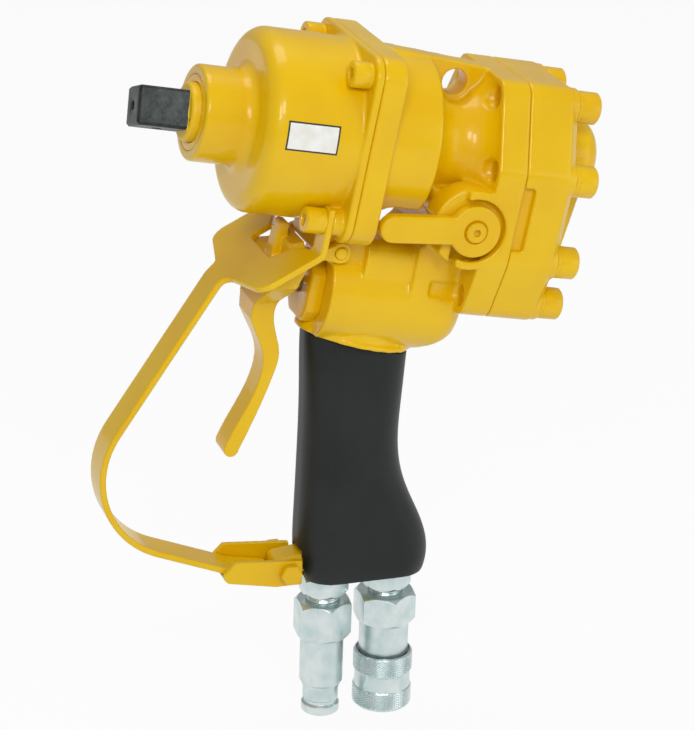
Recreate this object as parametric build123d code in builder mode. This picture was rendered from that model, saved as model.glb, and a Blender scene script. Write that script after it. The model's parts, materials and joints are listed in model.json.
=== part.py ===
"""Hydraulic impact wrench with a 3/4 inch square drive, a guarded trigger and two quick couplings.

All sizes are in millimetres. The tool stands on its two coupling ends on z = 0, with the origin in the
middle of the rear coupling's mouth. +Z is up, the nose points to -X and rises by the rake, and the
reversing lever is on the -Y side. Along the drive axis a place is given by its station s, measured
backwards from the nose rim, its height t over the axis, and y.
"""
import os
from math import atan, cos, pi, radians, sin, sqrt, tan

from build123d import *

# Where the drive axis runs
rake = 10.3                 # degrees that the drive axis rises towards the nose
axis_height = 310.5         # height of the drive axis over the origin
nose_reach = 108.8          # from there along the axis to the nose rim

# Fits
running = 0.03              # radial clearance of a turning or sliding fit
loose = 0.25                # radial clearance of a screw in its hole
seat_gap = 0.3              # gap left between pieces of two bodies that meet

# Square drive and anvil
square = 19.05              # 3/4 inch square
square_length = 25.0        # square standing out of the shoulder
square_roll = -19.5         # degrees that the square is turned at rest
shoulder_length = 4.2       # round shoulder standing out of the nose
journal_radius = 14.3       # anvil in its bushing
retainer_hole = 5.0         # cross hole in the square for a socket's pin
anvil_core = 11.0
anvil_lug_width = 10.0
pilot_radius = 6.0          # rear pilot of the anvil, in the hammer frame

# Hammer case
nose_radius = 23.4
nose_length = 24.5
case_radius = 45.0
case_length = 51.0          # from the case front to the parting face
case_wall = 7.0
case_flange = 4.0           # thickness of the case's bolting flange
case_edge = 8.0             # rounding of the case front
bushing_wall = 4.0
bolt_room = 0.2             # between the case and the heads of its bolts
bolt_edge = 10.0            # from a case bolt's middle to the flange's edge
flange_corner = 12.0
lower_boss = 5.5            # boss under the guard's tabs

# Main housing
housing_flange = 12.0
barrel_radius = 42.5
barrel_length = 25.5        # from the flange to the waist
waist_length = 30.0
waist_radius = 27.0
rear_block = 15.0           # thickness of the housing's rear flange
web_thickness = 12.0        # web over the waist that holds the hanging eye
web_rise = 2.0              # the web's front end stands this far over the barrel
eye_radius = 6.35
eye_height = 31.5           # over the drive axis
eye_from_block = 15.5       # eye's centre ahead of the rear flange
eye_rim = 3.0               # flat faced round the eye on both sides

# Rear cap and motor
cap_length = 27.0
cap_bevel = 4.5
pry_width = 6.0             # slots for a pry bar on the joint of the cap
pry_height = 32.0
pry_depth = 4.0
dome_radius = 19.5
dome_length = 24.0
gear_centres = 42.0
gear_teeth = 12
gear_addendum = 3.0
gear_width = 20.0
gear_play = 0.1             # play of the gears at their tips and their sides
pressure_angle = 28.0       # degrees
tooth_play = 0.12           # thinning of each tooth
key_width = 5.0
dowel_radius = 3.0
dowel_length = 16.0
boss_radius = 9.5           # metal round each cap bolt
bolt_circle = 38.0          # cap bolts round each gear centre
lower_bolt_circle = 40.4    # lowest two, further out
upper_bolt_angle = 53.5     # degrees over the level
side_bolt_angle = -4.0
lower_bolt_angle = -41.0
shaft_radius = 10.0
bush_radius = 13.0
idler_radius = 7.0
idler_seat = 10.0           # depth of the idler shaft's seat in the housing

# Screws
case_screw = 8.0            # M8
case_washer = 2.0           # lock washer under its head
cap_screw = 10.0            # M10
cap_washer = 1.8

# Bearing and seal behind the hammer frame
bearing_outer = 23.5
bearing_width = 14.0
ball_radius = 3.97
ball_circle = 16.75
ball_count = 9
race_lip = 3.1
seal_radius = 17.0
seal_width = 8.0

# Impact mechanism
frame_room = 2.0            # between the hammer frame and the case
frame_plate = 4.5
hammer_pin_radius = 4.5
pin_edge = 7.5              # from a pin's middle to the frame's edge
hammer_flat = 11.0          # a hammer is flattened this far inside the frame's edge
hammer_web = 4.7            # metal between a hammer's pin and its bore
jaw_room = 3.3              # between the anvil's jaws and a hammer's bore
side_play = 0.3             # between the hammers and their plates
strut_angle = 30.0          # half the angle that a strut of the frame takes up
hammer_swing = 3.0          # degrees to each side
dog_room = 0.4              # between the dogs and the jaws while the hammers stand in the middle
hex_drive = 15.0            # hexagon that joins the motor shaft and the frame

# Valve chest under the drive axis
valve_drop = 80.0
chest_radius = 27.0
chest_length = 73.0
chest_rise = 53.0           # from its front to where its underside starts to rise
chest_rise_height = 21.0    # how far the underside has risen at the cap's joint
chest_start = 3.5           # chest front behind the parting face
plug_length = 7.5
plug_width = 31.0
plug_height = 33.0
plug_thread = 13.0          # radius of the plug's threaded shank
plug_depth = 12.0
spool_radius = 8.0
spool_length = 38.0
spool_neck = 5.0
stem_radius = 4.0
stem_reach = 9.7            # stem standing out of the plug
spring_room = 16.0

# Window through the casting between the barrel and the valve chest
window_top = -27.5
window_bottom = -48.5
window_start = 5.0          # behind the housing flange
window_length = 31.0
window_corner = 7.0

# Reversing lever and spool, across the housing
lever_station = 61.5        # hub's centre behind the parting face
lever_drop = 31.0
lever_face = 42.5           # inner face of the lever, from the middle plane
lever_thickness = 6.0
lever_hub = 13.0
lever_arm = 42.0
lever_half_width = 6.8
lever_slope = 4.0           # degrees that the arm droops from the drive axis at rest
lever_pocket = 15.8
reverse_radius = 8.0

# Grip
grip_front = -49.5
grip_back = 3.0             # at the palm
grip_half_width = 19.0
grip_bottom = 79.0
grip_wall = 4.0
lip_tilt = 16.0             # degrees that the lip over the grip slopes down to the rear
lip_height = 208.5          # lip at the middle of the grip
lip_thickness = 2.6
lip_overhang = 3.2

# Trigger
pivot_station = 5.0         # pivot behind the parting face
pivot_drop = 55.5
pivot_radius = 3.0
ear_gap = 19.8              # inner face of the trigger's ears, from the middle plane
ear_thickness = 4.2
ear_radius = 5.3
blade_half_width = 8.0

# Guard
strap_width = 20.0
strap_thickness = 3.2
strap_bend = 46.0
fork_half_width = 43.0
fork_notch = 18.0           # half the width of the fork's notch
bracket_wall = 3.0
bracket_length = 41.0
bracket_height = 15.0
bracket_rise = 0.18         # its floor rises by this much for each millimetre to the front
bracket_bolt = 6.0          # M6
lug_width = 15.0

# Couplings, 3/8 inch body size
nipple_x = -34.0
adapter_hex = 23.0
adapter_thread = 9.5
adapter_hex_height = 10.5
coupler_height = 65.0
coupler_hex = 28.5
coupler_sleeve_radius = 15.2
coupler_sleeve_height = 31.0
mouth_radius = 10.3
nipple_height = 64.0
nipple_hex = 26.5
nipple_barrel = 11.3
nipple_tip = 9.9
nipple_neck = 9.3
nipple_groove = 8.6
face_depth = 1.0            # flat valve faces inside the coupling's mouth
lock_balls = 8
lock_ball_radius = 1.6

# Stations that follow from the sizes
case_front = nose_length
parting = case_front + case_length
flange_back = parting + housing_flange
barrel_end = flange_back + barrel_length
block_front = barrel_end + waist_length
cap_joint = block_front + rear_block
cap_back = cap_joint + cap_length
chest_front = parting + chest_start
chest_back = chest_front + chest_length
bolt_offset = (case_radius + 0.8 * case_screw + bolt_room) / sqrt(2)
flange_size = 2 * (bolt_offset + bolt_edge)
case_bore = case_radius - case_wall
frame_radius = case_bore - frame_room
hammer_pin_circle = frame_radius - pin_edge
hammer_half_width = frame_radius - hammer_flat
hammer_bore = hammer_pin_circle - hammer_pin_radius - hammer_web
anvil_lug_radius = hammer_bore - jaw_room
dog_reach = anvil_lug_radius + dog_room
lever_s = parting + lever_station
pivot_s = parting + pivot_station

forward = Vector(-cos(radians(rake)), 0, sin(radians(rake)))
nose_point = Vector(0, 0, axis_height) + forward * nose_reach
across_tool = Plane(origin=nose_point, x_dir=(0, 1, 0), z_dir=forward * -1)
along_tool = Plane(origin=nose_point, x_dir=forward * -1, z_dir=(0, -1, 0))
drive_axis = Axis(nose_point, forward * -1)


def at(s, t, y=0):
    """The point at a station, a height over the drive axis and a place across the tool."""
    return across_tool.from_local_coords(Vector(y, t, s))


def station(s):
    """A plane square to the drive axis; its X is the tool's Y and its Y is the height t."""
    return across_tool.offset(s)


def rod(start, end, radius, y=0, t=0, mode=Mode.ADD):
    """A round bar along the drive axis between two stations."""
    with BuildSketch(station(start)) as disc:
        with Locations((y, t)):
            Circle(radius)
    extrude(disc.sketch, amount=end - start, mode=mode)


def upright(x, low, high, radius, mode=Mode.ADD, y=0):
    """A vertical round bar."""
    with BuildSketch(Plane.XY.offset(low)) as disc:
        with Locations((x, y)):
            Circle(radius)
    extrude(disc.sketch, amount=high - low, mode=mode)


def crosswise(s, t, start, end, radius, mode=Mode.ADD):
    """A round bar across the tool."""
    with BuildSketch(Plane(origin=at(s, t, start), x_dir=(1, 0, 0), z_dir=(0, 1, 0))) as disc:
        Circle(radius)
    extrude(disc.sketch, amount=end - start, mode=mode)


def turned(points, x):
    """A piece turned about the vertical line at x; each point is a radius and a height."""
    with BuildPart() as piece:
        with BuildSketch(Plane.XZ):
            with BuildLine():
                Polyline(*[(x + radius, height) for radius, height in points], close=True)
            make_face()
        revolve(axis=Axis((x, 0, 0), (0, 0, 1)))
    return piece.part


def bore_to_bore(start, end, outer, inner, y=0, t=0):
    """A plain ring about a line along the drive axis."""
    with BuildPart() as ring:
        with BuildSketch(station(start)):
            with Locations((y, t)):
                Circle(outer)
                Circle(inner, mode=Mode.SUBTRACT)
        extrude(amount=end - start)
    return ring.part


def coil_spring(foot, radius, wire, length, turns):
    """A coil spring that stands on a plane, its ends inside the length."""
    rise = length - wire
    with BuildPart() as coil:
        with BuildLine() as path:
            Helix(pitch=rise / turns, height=rise, radius=radius, center=(0, 0, wire / 2))
        with BuildSketch(Plane(origin=path.line @ 0, z_dir=path.line % 0)):
            Circle(wire / 2)
        sweep()
    return coil.part.moved(foot.location)


def socket_screw(head_start, size, length, y, t, direction=1):
    """A socket head cap screw along the drive axis; its head starts at a station."""
    with BuildPart() as screw:
        head_end = head_start + direction * size
        with BuildSketch(station(head_start)):
            with Locations((y, t)):
                Circle(0.8 * size)
        extrude(amount=direction * size)
        rim = screw.edges().filter_by(GeomType.CIRCLE).sort_by(drive_axis)
        chamfer(rim[0] if direction > 0 else rim[-1], 0.08 * size)
        with BuildSketch(station(head_end)):
            with Locations((y, t)):
                Circle(size / 2)
        extrude(amount=direction * length)
        with BuildSketch(station(head_start)):
            with Locations((y, t)):
                RegularPolygon(0.375 * size, 6, major_radius=False)
        extrude(amount=direction * size / 2, mode=Mode.SUBTRACT)
    return screw.part


def finish_piece(name, shape):
    """Label a finished piece and write it."""
    shape.label = name
    export_step(shape, f"parts/{name}.step")
    pieces[name] = shape


def group_of(shapes):
    """Several separate solids as one piece."""
    return Compound(children=[solid for shape in shapes for solid in shape.solids()])


os.makedirs("parts", exist_ok=True)
pieces = {}

case_screw_places = [(y, t) for t in (bolt_offset, -bolt_offset) for y in (-bolt_offset, bolt_offset)]
half_bolts = [
    (bolt_circle * cos(radians(upper_bolt_angle)), bolt_circle * sin(radians(upper_bolt_angle))),
    (bolt_circle * cos(radians(side_bolt_angle)), bolt_circle * sin(radians(side_bolt_angle))),
    (bolt_circle * cos(radians(side_bolt_angle)),
     bolt_circle * sin(radians(side_bolt_angle)) - gear_centres),
    (lower_bolt_circle * cos(radians(lower_bolt_angle)),
     lower_bolt_circle * sin(radians(lower_bolt_angle)) - gear_centres),
]
cap_screw_places = half_bolts + [(-y, t) for y, t in half_bolts]


def motor_outline(start, radius):
    """The outline of the motor's flanges: a band drawn tight round the eight cap bolts."""
    with BuildSketch(station(start)) as outline:
        with Locations(*cap_screw_places):
            Circle(radius)
        make_hull()
    return outline.sketch


def gear_chamber(start, radius):
    """The two joined rounds in which the gears turn."""
    with BuildSketch(station(start)) as chamber:
        with Locations((0, 0), (0, -gear_centres)):
            Circle(radius)
    return chamber.sketch


# Hammer case
with BuildPart() as hammer_case:
    with BuildSketch(along_tool) as case_profile:
        with BuildLine():
            Polyline(
                (0, journal_radius + bushing_wall), (0, nose_radius),
                (case_front, nose_radius), (case_front, case_radius),
                (parting, case_radius), (parting, case_bore),
                (case_front + case_wall, case_bore),
                (case_front + case_wall, journal_radius + bushing_wall), close=True)
        make_face()
        corners = case_profile.vertices()
        fillet(corners.filter_by(lambda v: abs(v.X - case_front) < 0.01 and v.Y > case_radius - 1), case_edge)
        fillet(case_profile.vertices().filter_by(
            lambda v: abs(v.X - case_front) < 0.01 and abs(v.Y - nose_radius) < 0.01), 5)
        fillet(case_profile.vertices().filter_by(
            lambda v: abs(v.X) < 0.01 and abs(v.Y - nose_radius) < 0.01), 1.5)
        fillet(case_profile.vertices().filter_by(
            lambda v: abs(v.X - case_front - case_wall) < 0.01 and abs(v.Y - case_bore) < 0.01), 4)
    revolve(axis=drive_axis)
    with BuildSketch(station(parting - case_flange)):
        RectangleRounded(flange_size, flange_size, flange_corner)
        Circle(case_radius - 1, mode=Mode.SUBTRACT)
    extrude(amount=case_flange)
    with BuildSketch(station(parting - case_flange - lower_boss)):
        with Locations(*case_screw_places[2:]):
            Circle(0.8 * case_screw)
    extrude(amount=lower_boss)
    for y, t in case_screw_places:
        rod(parting - case_flange - lower_boss - 1, parting, case_screw / 2 + loose, y, t, Mode.SUBTRACT)
finish_piece("hammer_case", hammer_case.part)

# Bronze bushing in the nose, its collar flush with the nose rim
with BuildPart() as drive_bushing:
    with BuildSketch(along_tool):
        with BuildLine():
            Polyline((0, journal_radius + running), (0, journal_radius + bushing_wall),
                     (case_front + case_wall, journal_radius + bushing_wall),
                     (case_front + case_wall, journal_radius + running), close=True)
        make_face()
    revolve(axis=drive_axis)
    chamfer(drive_bushing.edges().filter_by(GeomType.CIRCLE).group_by(
        lambda e: round((e.center() - nose_point).dot(forward * -1), 3))[0][0], 0.8)
finish_piece("drive_bushing", drive_bushing.part)

# Places that follow from the sizes, in the grip and the valve chest
grip_middle = (grip_front + grip_back) / 2
grip_half_depth = (grip_back - grip_front) / 2
lip_plane = Plane(origin=(grip_middle, 0, lip_height), x_dir=(cos(radians(lip_tilt)), 0, -sin(radians(lip_tilt))),
                  z_dir=(sin(radians(lip_tilt)), 0, cos(radians(lip_tilt))))
lug_nose = parting - 6.5     # the pivot's lug reaches this far under the case
lug_nose_top = -flange_size / 2 - 2.5 * seat_gap
bush_start = cap_joint - 16
spot_depth = 1.0
seal_thickness = 1.8
spool_start = chest_front + plug_depth + 3
spring_start = spool_start + spool_length
spring_end = spring_start + spring_room
far_plug_face = chest_radius + 14
far_plug_depth = 8.0
far_plug_radius = 9.0
port_depth = 14.0
bracket_bolt_x = grip_front - 7
bracket_bolt_z = grip_bottom + 8
lug_tip_x = bracket_bolt_x - 6.5
lug_top_z = grip_bottom + 13.0
lug_low_z = grip_bottom + bracket_wall + 1.8
chamber_end = cap_joint + gear_width + 2 * gear_play
bush_end = chamber_end + 17
gear_outer = gear_centres / 2 + gear_addendum
dowel_places = [(0, 34.5), (37, -gear_centres / 2 - 2)]
lever_outer = lever_face + lever_thickness


def bore_ring(start, outer, inner):
    """A flat ring about the drive axis, as a face."""
    with BuildSketch(station(start)) as ring:
        Circle(outer)
        Circle(inner, mode=Mode.SUBTRACT)
    return ring.sketch


def gear_ring(start, outer, inner):
    """A flat ring that runs round both gears, as a face."""
    with BuildSketch(station(start)) as ring:
        with Locations((0, 0), (0, -gear_centres)):
            Circle(outer)
        make_hull()
        offset(amount=inner - outer, mode=Mode.SUBTRACT)
    return ring.sketch


# The grip's outline: at each height over the port face, how far the front and back stand, in
# millimetres outwards from the palm's section, and the half width
grip_sections = [
    (0, -2.5, 15.0, -1.5), (10, 0.0, 16.8, 0.0), (25, 0.5, 14.0, 0.0), (42, 0.0, 6.5, 0.0),
    (60, -0.5, 0.5, 0.0), (82, -1.0, -1.0, 0.0), (104, -1.0, 0.5, 0.0), (150, -2.5, 6.0, 0.0)]


def grip_body(inset):
    """The grip as a smooth body through its sections, drawn in by the inset."""
    with BuildPart() as body:
        for height, front, back, side in grip_sections:
            depth = 2 * grip_half_depth + front + back - 2 * inset
            width = 2 * (grip_half_width + side - inset)
            with BuildSketch(Plane.XY.offset(grip_bottom + height)):
                with Locations((grip_middle + (back - front) / 2, 0)):
                    RectangleRounded(depth, width, 0.44 * width)
        loft()
        split(bisect_by=lip_plane, keep=Keep.BOTTOM)
    return body.part


grip_core = grip_body(grip_wall)


# Main housing
waist_middle = (barrel_end + block_front) / 2
with BuildPart() as main_housing:
    rod(chest_front, chest_back, chest_radius, t=-valve_drop)
    fillet(main_housing.edges().filter_by(GeomType.CIRCLE).sort_by(drive_axis)[-1], 13)
    with BuildSketch(station(parting)):
        RectangleRounded(flange_size, flange_size, flange_corner)
    extrude(amount=housing_flange)
    with BuildSketch(along_tool):
        with BuildLine():
            Polyline((parting, 0), (parting, barrel_radius), (barrel_end, barrel_radius))
            ThreePointArc((barrel_end, barrel_radius), (waist_middle, waist_radius),
                          (block_front, barrel_radius - 3))
            Polyline((block_front, barrel_radius - 3), (block_front + 3, barrel_radius - 3),
                     (block_front + 3, 0), (parting, 0))
        make_face()
    revolve(axis=drive_axis)
    extrude(motor_outline(block_front, boss_radius), amount=rear_block)
    # web with the hanging eye, over the waist
    with BuildSketch(along_tool):
        with BuildLine():
            Polyline((flange_back, waist_radius - 6), (flange_back, barrel_radius + web_rise),
                     (block_front + 2, barrel_radius - web_rise), (block_front + 2, waist_radius - 6), close=True)
        make_face()
    extrude(amount=web_thickness / 2, both=True)
    # lug that carries the trigger pivot, and the neck that joins chest and motor behind the window
    with BuildSketch(along_tool):
        with BuildLine():
            Polyline((parting + 0.2, -flange_size / 2 + 4), (parting + 0.2, lug_nose_top),
                     (lug_nose, lug_nose_top), (lug_nose, -pivot_drop - 2.5),
                     (parting + 0.2, -valve_drop + plug_height / 2 + 2),
                     (chest_front, -valve_drop + plug_height / 2 + seat_gap), (chest_front, -valve_drop),
                     (flange_back + window_start, -valve_drop),
                     (flange_back + window_start, -flange_size / 2 + 4), close=True)
        make_face()
        with BuildLine():
            Polyline((flange_back + window_start + window_length - 4, -waist_radius + 10),
                     (flange_back + window_start + window_length - 4, -valve_drop),
                     (cap_joint - 6, -valve_drop), (cap_joint - 6, -waist_radius + 10), close=True)
        make_face()
    extrude(amount=chest_radius - 8, both=True)
    with BuildSketch(along_tool):
        with BuildLine():
            Polyline((flange_back + window_start + window_length - 4, -waist_radius + 10),
                     (flange_back + window_start + window_length - 4, -valve_drop),
                     (cap_joint - 10, -valve_drop), (cap_joint - 10, -waist_radius + 10), close=True)
        make_face()
    extrude(amount=chest_radius, both=True)
    # side wall under the window, and the underside of the chest that rises to the motor
    with BuildSketch(station(flange_back + window_start + 2)):
        with Locations((0, (window_bottom - valve_drop) / 2)):
            RectangleRounded(2 * chest_radius - 6, valve_drop + window_bottom, 8)
    extrude(amount=block_front - flange_back - window_start)
    with BuildSketch(along_tool):
        with BuildLine():
            Polyline((chest_front + chest_rise, -valve_drop - chest_radius - 0.01),
                     (cap_joint, -valve_drop - chest_radius + chest_rise_height),
                     (cap_joint, -valve_drop - 2 * chest_radius),
                     (chest_front + chest_rise, -valve_drop - 2 * chest_radius), close=True)
        make_face()
    extrude(amount=2 * chest_radius, both=True, mode=Mode.SUBTRACT)
    # boss across the housing for the reversing spool, open at the front where the lever swings
    crosswise(lever_s, -lever_drop, -chest_radius, -lever_face - lever_thickness + 1.5, lever_pocket + 4)
    crosswise(lever_s, -lever_drop, chest_radius - 1, far_plug_face, far_plug_radius + 6)
    # neck and lip over the grip
    with BuildSketch(Plane.XY.offset(lip_height - 12)):
        with Locations((grip_middle, 0)):
            Ellipse(grip_half_depth + 1, grip_half_width + 1.5)
    extrude(amount=valve_drop - 42)
    with BuildSketch(lip_plane):
        Ellipse((grip_half_depth + lip_overhang) / cos(radians(lip_tilt)), grip_half_width + lip_overhang)
    extrude(amount=lip_thickness)
    split(bisect_by=lip_plane, keep=Keep.TOP)
    # room for the valve plug in front of the chest
    with BuildSketch(station(chest_front)):
        with Locations((0, -valve_drop)):
            Rectangle(3 * plug_width, plug_height + 2 * seat_gap)
    extrude(amount=-4 * plug_length, mode=Mode.SUBTRACT)
    # core of the grip, down to the port face, with the guard's lug at its front
    add(grip_core)
    with BuildSketch(Plane.XZ):
        with BuildLine():
            Polyline((grip_front + 12, lug_low_z), (lug_tip_x, lug_low_z),
                     (lug_tip_x, lug_top_z), (grip_front + 12, lug_top_z + 3), close=True)
        make_face()
        fillet(vertices().sort_by(Axis.X)[:2], 3)
    extrude(amount=lug_width / 2, both=True)
    # window through the casting, and the pocket in which the reversing lever's hub turns
    with BuildSketch(Plane(origin=at(flange_back + window_start + window_length / 2,
                                     (window_top + window_bottom) / 2, -2 * case_radius),
                           x_dir=forward * -1, z_dir=(0, 1, 0))):
        RectangleRounded(window_length, window_top - window_bottom, window_corner)
    extrude(amount=4 * case_radius, mode=Mode.SUBTRACT)
    crosswise(lever_s, -lever_drop, -2 * case_radius, -lever_face + seat_gap, lever_pocket, Mode.SUBTRACT)
    with BuildSketch(Plane(origin=at(lever_s - lever_hub / 2, -lever_drop, -lever_face + seat_gap),
                           x_dir=forward * -1, z_dir=(0, -1, 0))):
        Rectangle(2 * lever_pocket, 5 * lever_pocket, align=(Align.MAX, Align.CENTER))
    extrude(amount=case_radius, mode=Mode.SUBTRACT)
    # hanging eye
    crosswise(block_front - eye_from_block, eye_height, -2 * case_radius, 2 * case_radius, eye_radius,
              Mode.SUBTRACT)
    for side in (-1, 1):
        crosswise(block_front - eye_from_block, eye_height, side * web_thickness / 2, side * case_radius,
                  eye_radius + eye_rim, Mode.SUBTRACT)
    # bearing, seal, shaft tunnel and bush
    rod(parting - 1, parting + bearing_width, bearing_outer, mode=Mode.SUBTRACT)
    rod(parting, parting + bearing_width + seal_width, seal_radius, mode=Mode.SUBTRACT)
    rod(parting, cap_joint + 1, shaft_radius + 0.6, mode=Mode.SUBTRACT)
    rod(bush_start, cap_joint + 1, bush_radius, mode=Mode.SUBTRACT)
    rod(cap_joint - idler_seat, cap_joint + 1, idler_radius, t=-gear_centres, mode=Mode.SUBTRACT)
    # screw holes: blind and threaded in the flange, spot-faced and clear through the motor flange
    for y, t in case_screw_places:
        rod(parting - 1, flange_back - 1.5, case_screw / 2 + running, y, t, Mode.SUBTRACT)
    for y, t in cap_screw_places:
        rod(block_front - 14, cap_joint + 1, cap_screw / 2 + running, y, t, Mode.SUBTRACT)
        rod(block_front - 14, block_front + spot_depth, 0.62 * cap_screw, y, t, Mode.SUBTRACT)
    # groove of the case seal, and holes of the dowels
    extrude(bore_ring(parting, case_bore + 3.5, case_bore + 1.5), amount=seal_thickness, mode=Mode.SUBTRACT)
    for y, t in dowel_places:
        rod(cap_joint - dowel_length / 2, cap_joint + 1, dowel_radius, y, t, Mode.SUBTRACT)
    # reversing spool's bore, with a wider mouth for the plug on the far side
    crosswise(lever_s, -lever_drop, -2 * case_radius, 2 * case_radius, reverse_radius + running,
              Mode.SUBTRACT)
    crosswise(lever_s, -lever_drop, far_plug_face - far_plug_depth, far_plug_face, far_plug_radius,
              Mode.SUBTRACT)
    crosswise(lever_s, -lever_drop, far_plug_face, 2 * case_radius, far_plug_radius + 4, Mode.SUBTRACT)
    # valve bore, plug thread and the pocket of the return spring
    rod(chest_front - 1, chest_front + plug_depth, plug_thread, t=-valve_drop, mode=Mode.SUBTRACT)
    rod(chest_front, spring_end, spool_radius + running, t=-valve_drop, mode=Mode.SUBTRACT)
    # trigger pivot
    crosswise(pivot_s, -pivot_drop, -2 * case_radius, 2 * case_radius, pivot_radius, Mode.SUBTRACT)
    # hose ports and their passages, and the hole for the guard's bolt
    for x in (nipple_x, 0):
        upright(x, grip_bottom - 1, grip_bottom + port_depth, adapter_thread, Mode.SUBTRACT)
    upright(nipple_x, grip_bottom, lip_height + 8, 4, Mode.SUBTRACT)
    with BuildSketch(Plane(origin=(bracket_bolt_x, -2 * case_radius, bracket_bolt_z), z_dir=(0, 1, 0))):
        Circle(bracket_bolt / 2 + loose)
    extrude(amount=4 * case_radius, mode=Mode.SUBTRACT)
finish_piece("main_housing", main_housing.part)

# Rear cap: a bevelled cover with a seat under each screw head and a dome over the shaft's end
with BuildPart() as rear_cap:
    extrude(motor_outline(cap_joint, boss_radius), amount=cap_length)
    chamfer(rear_cap.faces().sort_by(drive_axis)[-1].edges(), cap_bevel)
    for y, t in cap_screw_places:
        rod(cap_joint + cap_bevel, cap_back, 0.9 * cap_screw, y, t)
    with BuildSketch(along_tool) as dome_profile:
        with BuildLine():
            Polyline((cap_back - 2, 0), (cap_back - 2, dome_radius + 6), (cap_back, dome_radius + 6),
                     (cap_back, dome_radius), (cap_back + dome_length, dome_radius),
                     (cap_back + dome_length, 0), close=True)
        make_face()
        fillet(dome_profile.vertices().filter_by(
            lambda v: abs(v.X - cap_back) < 0.01 and abs(v.Y - dome_radius) < 0.01), 4)
        fillet(dome_profile.vertices().filter_by(
            lambda v: v.X > cap_back + dome_length - 0.01 and v.Y > 1), dome_radius / 2)
    revolve(axis=drive_axis)
    extrude(gear_chamber(cap_joint - 1, gear_outer + gear_play), amount=chamber_end - cap_joint + 1,
            mode=Mode.SUBTRACT)
    rod(cap_joint, bush_end, bush_radius, mode=Mode.SUBTRACT)
    rod(cap_joint, chamber_end + idler_seat / 2, idler_radius, t=-gear_centres, mode=Mode.SUBTRACT)
    for y, t in cap_screw_places:
        rod(cap_joint - 1, cap_back + 1, cap_screw / 2 + loose, y, t, Mode.SUBTRACT)
    for y, t in dowel_places:
        rod(cap_joint - 1, cap_joint + dowel_length / 2, dowel_radius, y, t, Mode.SUBTRACT)
    extrude(gear_ring(cap_joint, gear_outer + 5.4, gear_outer + 3.4), amount=seal_thickness,
            mode=Mode.SUBTRACT)
    # slots for a pry bar, on both sides of the joint
    side_y = bolt_circle * cos(radians(side_bolt_angle)) + boss_radius
    for side in (-1, 1):
        with BuildSketch(Plane(origin=at(cap_joint, -gear_centres / 2 - 2, side * side_y),
                               x_dir=forward * -1, z_dir=(0, -side, 0))):
            Rectangle(pry_width, pry_height, align=(Align.MIN, Align.CENTER))
        extrude(amount=pry_depth, mode=Mode.SUBTRACT)
finish_piece("rear_cap", rear_cap.part)

finish_piece("case_seal", extrude(bore_ring(parting, case_bore + 3.5, case_bore + 1.5),
                                  amount=seal_thickness))
finish_piece("cap_seal", extrude(gear_ring(cap_joint, gear_outer + 5.4, gear_outer + 3.4),
                                 amount=seal_thickness))
finish_piece("dowel_pins", group_of([
    bore_to_bore(cap_joint - dowel_length / 2, cap_joint + dowel_length / 2, dowel_radius, 0.8, y, t)
    for y, t in dowel_places]))

# Motor: two spur gears, the shaft of each, and the plain bearings


def spur_gear(t, turn, hole):
    """A spur gear of the motor; its flanks are involutes of the base circle."""
    pitch = gear_centres / 2
    base = pitch * cos(radians(pressure_angle))
    root = pitch - gear_addendum - 0.9
    half_tooth = pi / (2 * gear_teeth) - tooth_play / (2 * pitch)
    involute = tan(radians(pressure_angle)) - radians(pressure_angle)

    def half_angle(radius):
        roll = sqrt((radius / base) ** 2 - 1)
        return half_tooth + involute - (roll - atan(roll))

    def place(radius, angle):
        return radius * sin(angle), radius * cos(angle) + t

    radii = [base + step * (gear_outer - base) / 3 for step in range(4)]
    foot = half_angle(base)
    tip = half_angle(gear_outer)
    with BuildPart() as gear:
        with BuildSketch(station(cap_joint + gear_play)):
            with BuildLine():
                for tooth in range(gear_teeth):
                    here = 2 * pi * tooth / gear_teeth + radians(turn)
                    beyond = here + 2 * pi / gear_teeth
                    Spline(*[place(r, here - half_angle(r)) for r in radii])
                    ThreePointArc(place(gear_outer, here - tip), place(gear_outer, here),
                                  place(gear_outer, here + tip))
                    Spline(*[place(r, here + half_angle(r)) for r in reversed(radii)])
                    Line(place(base, here + foot), place(root, here + foot))
                    ThreePointArc(place(root, here + foot), place(root, (here + beyond) / 2),
                                  place(root, beyond - foot))
                    Line(place(root, beyond - foot), place(base, beyond - foot))
            make_face()
            with Locations((0, t)):
                Circle(hole, mode=Mode.SUBTRACT)
        extrude(amount=gear_width)
    return gear.part


def key_bar(play, mode=Mode.ADD):
    """The key between the shaft and the drive gear, or with some play the room for it."""
    with BuildSketch(station(cap_joint + gear_play + 1 - play)) as bar:
        with Locations((0, shaft_radius)):
            Rectangle(key_width + 2 * play, key_width + 2 * play)
    extrude(bar.sketch, amount=gear_width - 2 + 2 * play, mode=mode)


with BuildPart() as drive_gear:
    add(spur_gear(0, 180, shaft_radius))
    with BuildSketch(station(cap_joint)):
        with Locations((0, shaft_radius)):
            Rectangle(key_width, key_width)
    extrude(amount=gear_width + 2, mode=Mode.SUBTRACT)
finish_piece("drive_gear", drive_gear.part)
finish_piece("idler_gear", spur_gear(-gear_centres, 180 / gear_teeth, idler_radius + running))

with BuildPart() as drive_key:
    key_bar(0)
finish_piece("drive_key", drive_key.part)

with BuildPart() as idler_shaft:
    rod(cap_joint - idler_seat, chamber_end + idler_seat / 2, idler_radius, t=-gear_centres)
    chamfer(idler_shaft.edges().filter_by(GeomType.CIRCLE), 0.6)
finish_piece("idler_shaft", idler_shaft.part)

finish_piece("shaft_bushings", group_of([
    bore_to_bore(bush_start, cap_joint, bush_radius, shaft_radius + running),
    bore_to_bore(chamber_end, bush_end, bush_radius, shaft_radius + running)]))

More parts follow.
